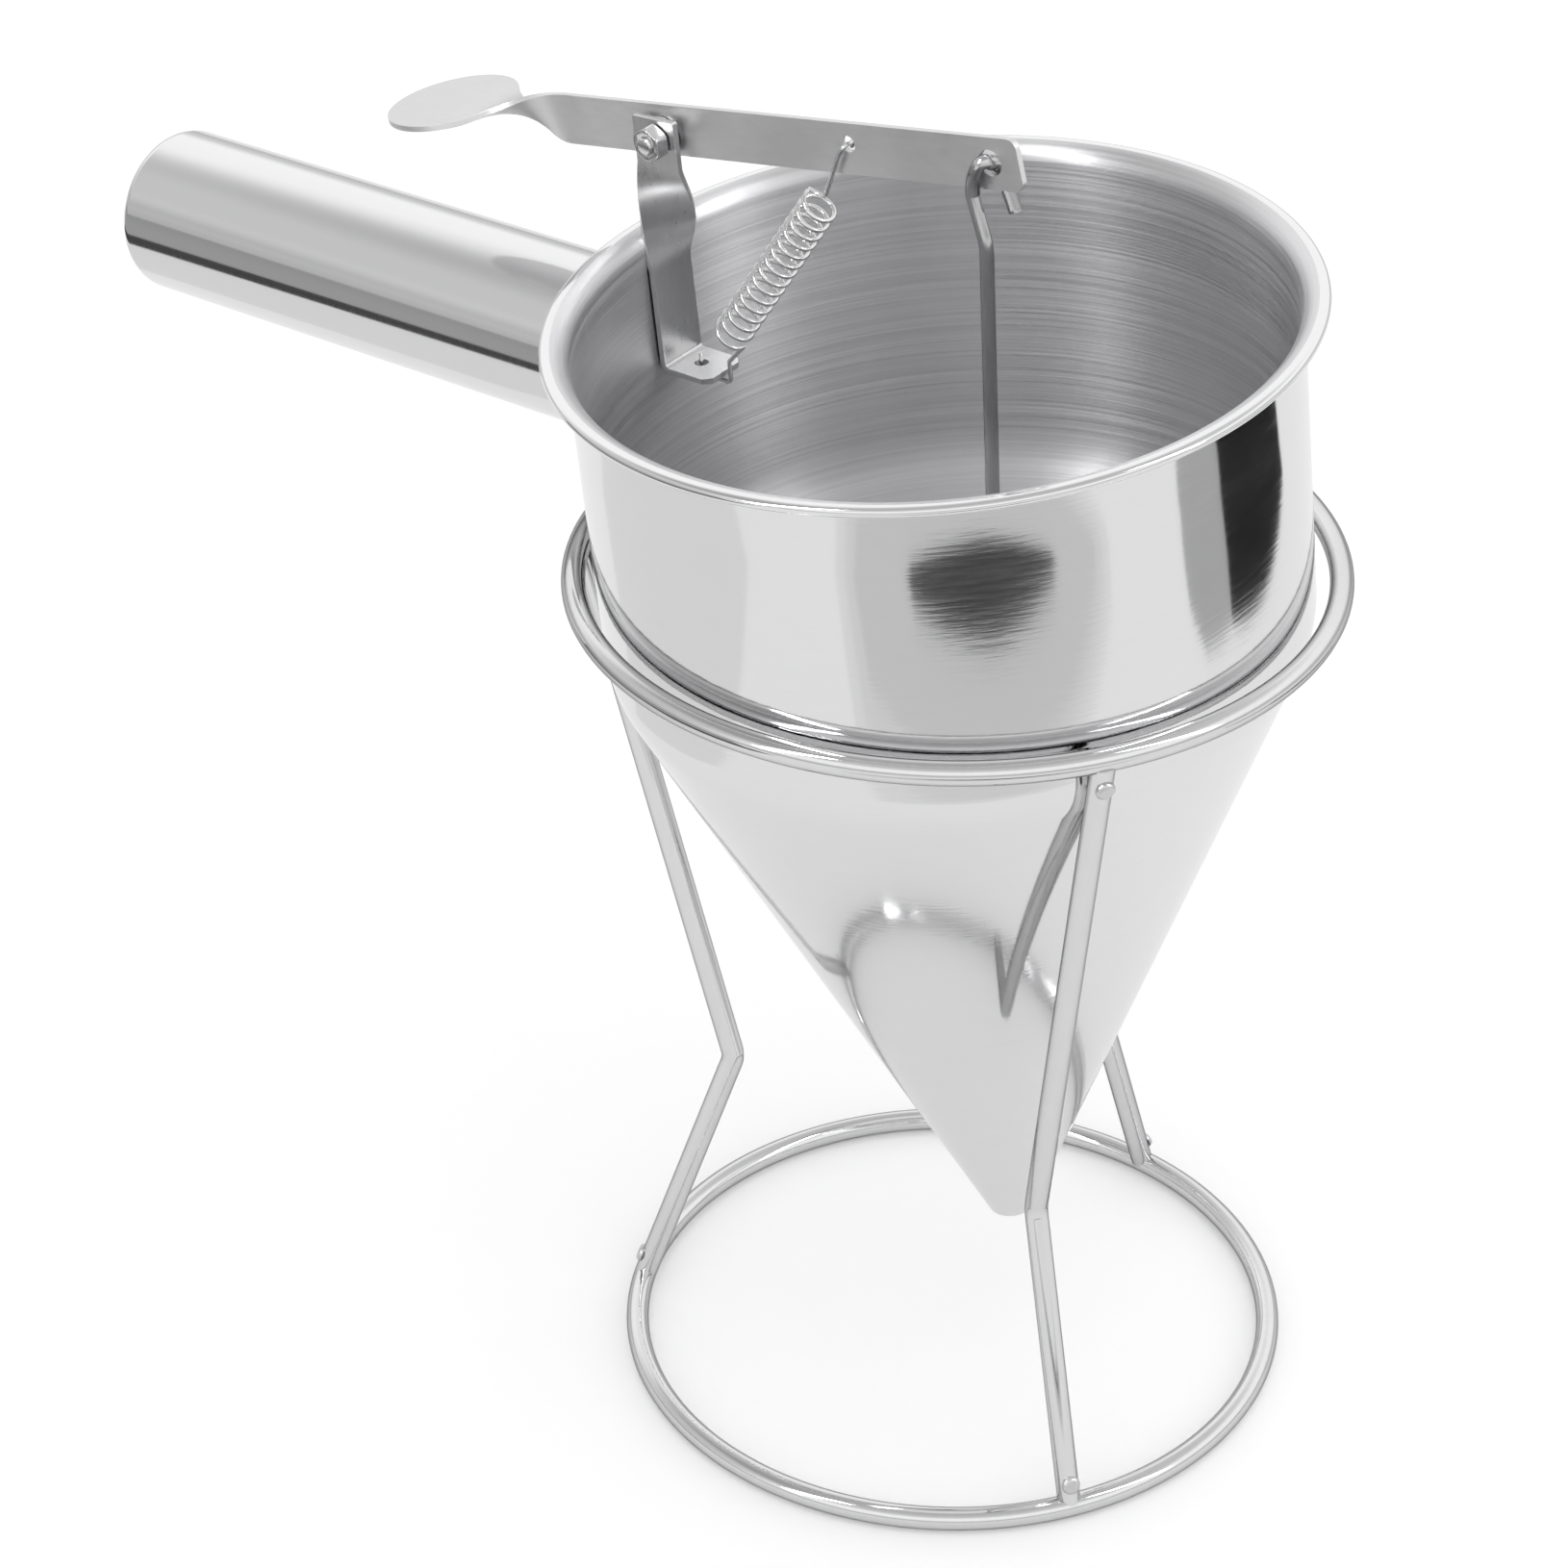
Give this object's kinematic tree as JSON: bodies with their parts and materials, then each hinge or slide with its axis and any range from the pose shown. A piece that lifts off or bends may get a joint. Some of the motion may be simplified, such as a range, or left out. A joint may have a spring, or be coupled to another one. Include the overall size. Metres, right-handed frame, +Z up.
{
  "type": "funnel with stand",
  "caption": "Conical steel funnel with tube handle, thumb lever and sprung valve rod, standing loosely in a wire stand with kinked legs",
  "frame": {"origin": "bottom centre of the whole part's box, on the plane that the stand stands on", "axes": "+Z up, the handle points along -X, +Y to the left of someone who looks from the funnel along the handle"},
  "size_m": [0.3194, 0.169, 0.3064],
  "materials": {
    "polished_steel": "polished outside, circular brushing inside",
    "wire_steel": "bright drawn wire",
    "weld_steel": "cleaned weld",
    "strip_steel": "satin strip with bright sheared edges",
    "fastener_steel": "satin",
    "stopper": "matte food-grade rubber"
  },
  "bodies": {
    "stand": {"stand_top_ring": "wire_steel", "stand_base_ring": "wire_steel", "stand_leg_front": "wire_steel", "stand_leg_right": "wire_steel", "stand_leg_left": "wire_steel", "top_weld_front": "weld_steel", "top_weld_right": "weld_steel", "top_weld_left": "weld_steel", "foot_weld_front": "weld_steel", "foot_weld_right": "weld_steel", "foot_weld_left": "weld_steel"},
    "funnel": {"funnel_bowl": "polished_steel", "funnel_cone": "polished_steel", "handle_tube": "polished_steel", "handle_end_cap": "polished_steel", "handle_weld_bead": "weld_steel", "lever_bracket": "strip_steel", "pivot_bolt": "fastener_steel", "pivot_nut": "fastener_steel", "pivot_washer": "fastener_steel", "return_spring": "wire_steel"},
    "lever": {"thumb_lever": "strip_steel"},
    "valve": {"valve_rod": "wire_steel", "valve_plug": "stopper"}
  },
  "joints": [
    {"name": "funnel_lift", "type": "slide", "parent": "stand", "child": "funnel", "axis": [0, 0, 1], "range_m": [0, 0.18]},
    {"name": "lever_pivot", "type": "hinge", "parent": "funnel", "child": "lever", "pos_m": [0.00082, -0.00307, 0.2802], "axis": [0.0034, -0.9979, -0.0644], "range_deg": [0, 12], "stiffness_Nm_per_rad": 0.4, "springref_deg": -8.59, "deforming": ["return_spring"]},
    {"name": "rod_swing", "type": "hinge", "parent": "lever", "child": "valve", "pos_m": [0.09205, -0.00399, 0.29921], "axis": [0.0034, -0.9979, -0.0644], "range_deg": [-11.2, 0]}
  ],
  "couplings": [
    {"joint": "rod_swing", "follows": "lever_pivot", "ratio": -0.92}
  ]
}
